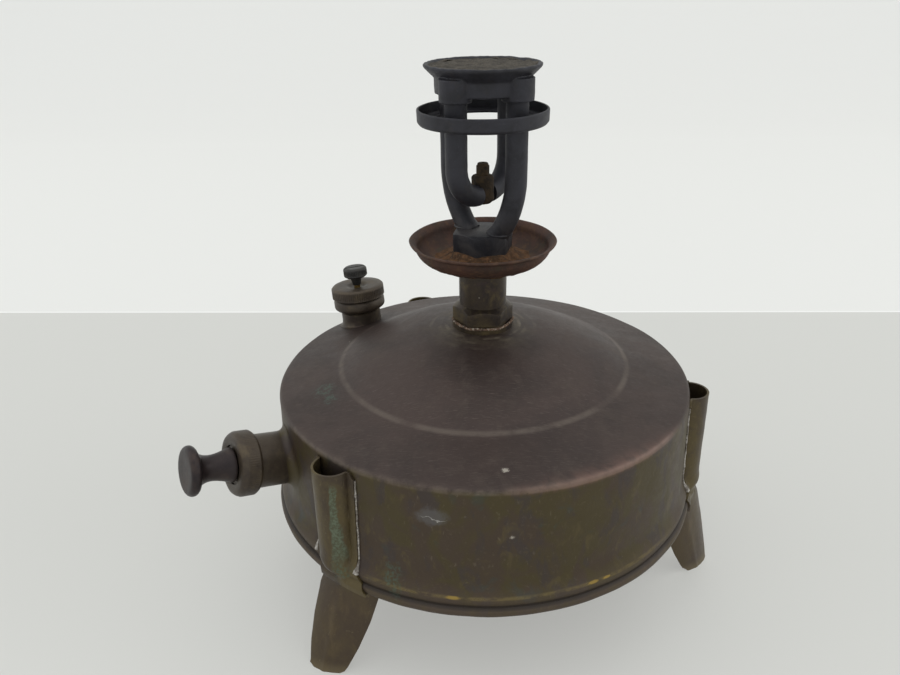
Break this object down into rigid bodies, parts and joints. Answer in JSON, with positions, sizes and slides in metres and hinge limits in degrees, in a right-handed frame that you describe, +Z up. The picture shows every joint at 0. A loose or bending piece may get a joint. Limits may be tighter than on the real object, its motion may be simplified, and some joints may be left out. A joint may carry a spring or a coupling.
{
  "type": "paraffin pressure stove",
  "caption": "Three-legged brass pressure stove: round tank with side pump and filler cap, riser with spirit cup, and a four-tube roarer burner with ring and flared head.",
  "frame": {"origin": "on the axis of the tank and burner, on the ground plane under the three feet", "axes": "+Z up along the burner's axis, -Y to the front where the front left leg and the pump's side show, +X to the right, the pump points out to the left, forwards and a little up"},
  "size_m": [0.227, 0.191, 0.2273],
  "materials": {
    "tank_brass": "dark brown patina, matt",
    "leg_brass": "olive-brown patina, satin",
    "riser_brass": "aged olive brass, satin",
    "fitting_brass": "aged brass, satin",
    "fitting_bronze": "dark bronze-brown, satin",
    "screw_bronze": "near-black, satin",
    "knob_bronze": "dark brown, satin",
    "jet_brass": "sooted brass",
    "cup_steel": "rusty dark brown, heat-stained, matt",
    "burner_iron": "sooty blue-black, matt",
    "plate_iron": "encrusted grey-brown, rough",
    "soft_metal": "dull grey, soft",
    "gasket_leather": "dark, pressed",
    "pump_leather": "oiled brown",
    "valve_rubber": "matt",
    "spring_steel": "bright, oiled"
  },
  "bodies": {
    "stove": {"tank_shell": "tank_brass", "tank_bottom": "tank_brass", "tank_bush": "fitting_brass", "leg_front_left": "leg_brass", "leg_right": "leg_brass", "leg_back": "leg_brass", "pickup_tube": "fitting_brass", "pickup_strainer": "fitting_brass", "riser": "riser_brass", "spirit_cup": "cup_steel", "burner_washer": "soft_metal", "burner_base": "burner_iron", "rising_tube_back_left": "burner_iron", "rising_tube_front_right": "burner_iron", "falling_tube_front_left": "burner_iron", "falling_tube_back_right": "burner_iron", "jet_block": "burner_iron", "jet_nipple": "jet_brass", "burner_ring": "burner_iron", "burner_head": "burner_iron", "flame_plate": "plate_iron", "filler_neck": "fitting_bronze", "pump_barrel": "fitting_bronze", "pump_cap": "fitting_bronze", "pump_end_bush": "fitting_brass", "valve_body": "fitting_brass", "valve_spring": "spring_steel", "valve_cap": "fitting_brass"},
    "filler_gasket_lift": {"filler_gasket": "gasket_leather"},
    "filler_cap": {"filler_cap": "fitting_bronze"},
    "air_screw_lift": {"air_screw_stem": "fitting_brass"},
    "air_screw": {"air_screw_head": "screw_bronze"},
    "pump_plunger": {"pump_knob": "knob_bronze", "pump_rod": "fitting_brass", "piston_plate": "fitting_brass", "pump_leather": "pump_leather", "piston_nut": "fitting_brass"},
    "valve_plunger": {"valve_pip": "fitting_brass", "valve_pad": "valve_rubber"}
  },
  "joints": [
    {"name": "filler_cap_rise", "type": "slide", "parent": "stove", "child": "filler_gasket_lift", "axis": [-0.0818, 0.0651, 0.9945], "range_m": [0, 0.0045]},
    {"name": "filler_cap_turn", "type": "hinge", "parent": "filler_gasket_lift", "child": "filler_cap", "pos_m": [-0.06026, 0.04793, 0.09965], "axis": [-0.0818, 0.0651, 0.9945], "range_deg": [0, 1080]},
    {"name": "air_screw_rise", "type": "slide", "parent": "filler_cap", "child": "air_screw_lift", "axis": [-0.0818, 0.0651, 0.9945], "range_m": [0, 0.002]},
    {"name": "air_screw_turn", "type": "hinge", "parent": "air_screw_lift", "child": "air_screw", "pos_m": [-0.06026, 0.04793, 0.09965], "axis": [-0.0818, 0.0651, 0.9945], "range_deg": [0, 720]},
    {"name": "pump_stroke", "type": "slide", "parent": "stove", "child": "pump_plunger", "axis": [-0.7848, -0.5807, 0.2164], "range_m": [0, 0.06]},
    {"name": "valve_open", "type": "slide", "parent": "stove", "child": "valve_plunger", "axis": [0.7848, 0.5807, -0.2164], "range_m": [0, 0.0012], "stiffness_N_per_m": 300, "springref_m": -0.002, "deforming": ["valve_spring"]}
  ],
  "couplings": [
    {"joint": "filler_cap_turn", "follows": "filler_cap_rise", "rad_per_m": 4188.8},
    {"joint": "air_screw_turn", "follows": "air_screw_rise", "rad_per_m": 6283.2}
  ]
}
